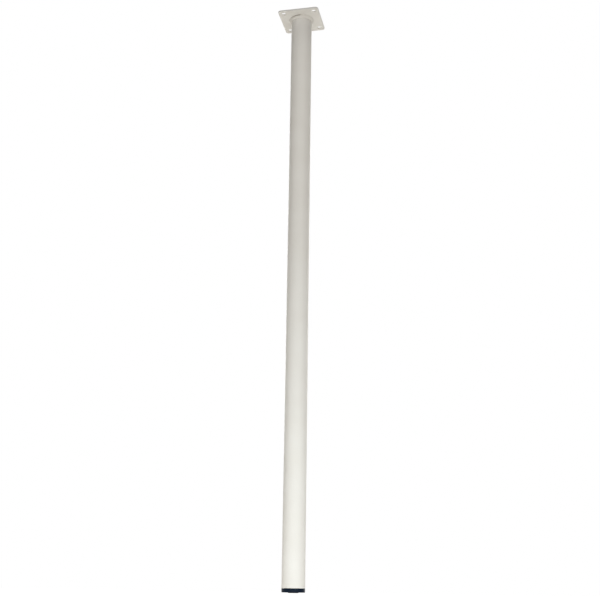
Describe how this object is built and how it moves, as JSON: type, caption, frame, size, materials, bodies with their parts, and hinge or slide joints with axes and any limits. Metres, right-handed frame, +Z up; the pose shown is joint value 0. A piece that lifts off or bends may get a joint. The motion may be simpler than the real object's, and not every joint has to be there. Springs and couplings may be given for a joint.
{
  "type": "table leg",
  "caption": "Slim round steel tube leg welded under a square screw-on mounting plate, powder coated cream white, with a black plastic foot that screws out to level a table.",
  "frame": {"origin": "centre of the mounting plate's top face, where the table top rests", "axes": "+Z up along the tube, out of the plate's top face; X and Y along the plate's sides, -Y towards the front of the picture"},
  "size_m": [0.0508, 0.0508, 0.7],
  "materials": {
    "powder_coat": "cream white powder coat, satin, with a fine orange peel",
    "black_plastic": "blue-black moulded polypropylene, fine matt grain",
    "zinc_steel": "bright zinc plate"
  },
  "bodies": {
    "leg": {"mounting_plate": "powder_coat", "leg_tube": "powder_coat", "weld_bead": "powder_coat", "tube_insert": "black_plastic", "hex_nut": "zinc_steel"},
    "stud": {"levelling_stud": "zinc_steel"},
    "foot": {"foot_disc": "black_plastic"}
  },
  "joints": [
    {"name": "foot_extend", "type": "slide", "parent": "leg", "child": "stud", "axis": [0, 0, -1], "range_m": [0, 0.01]},
    {"name": "foot_turn", "type": "hinge", "parent": "stud", "child": "foot", "pos_m": [0, 0, -0.69615], "axis": [0, 0, -1], "range_deg": [0, 2880]}
  ],
  "couplings": [
    {"joint": "foot_turn", "follows": "foot_extend", "rad_per_m": 5026.5}
  ]
}
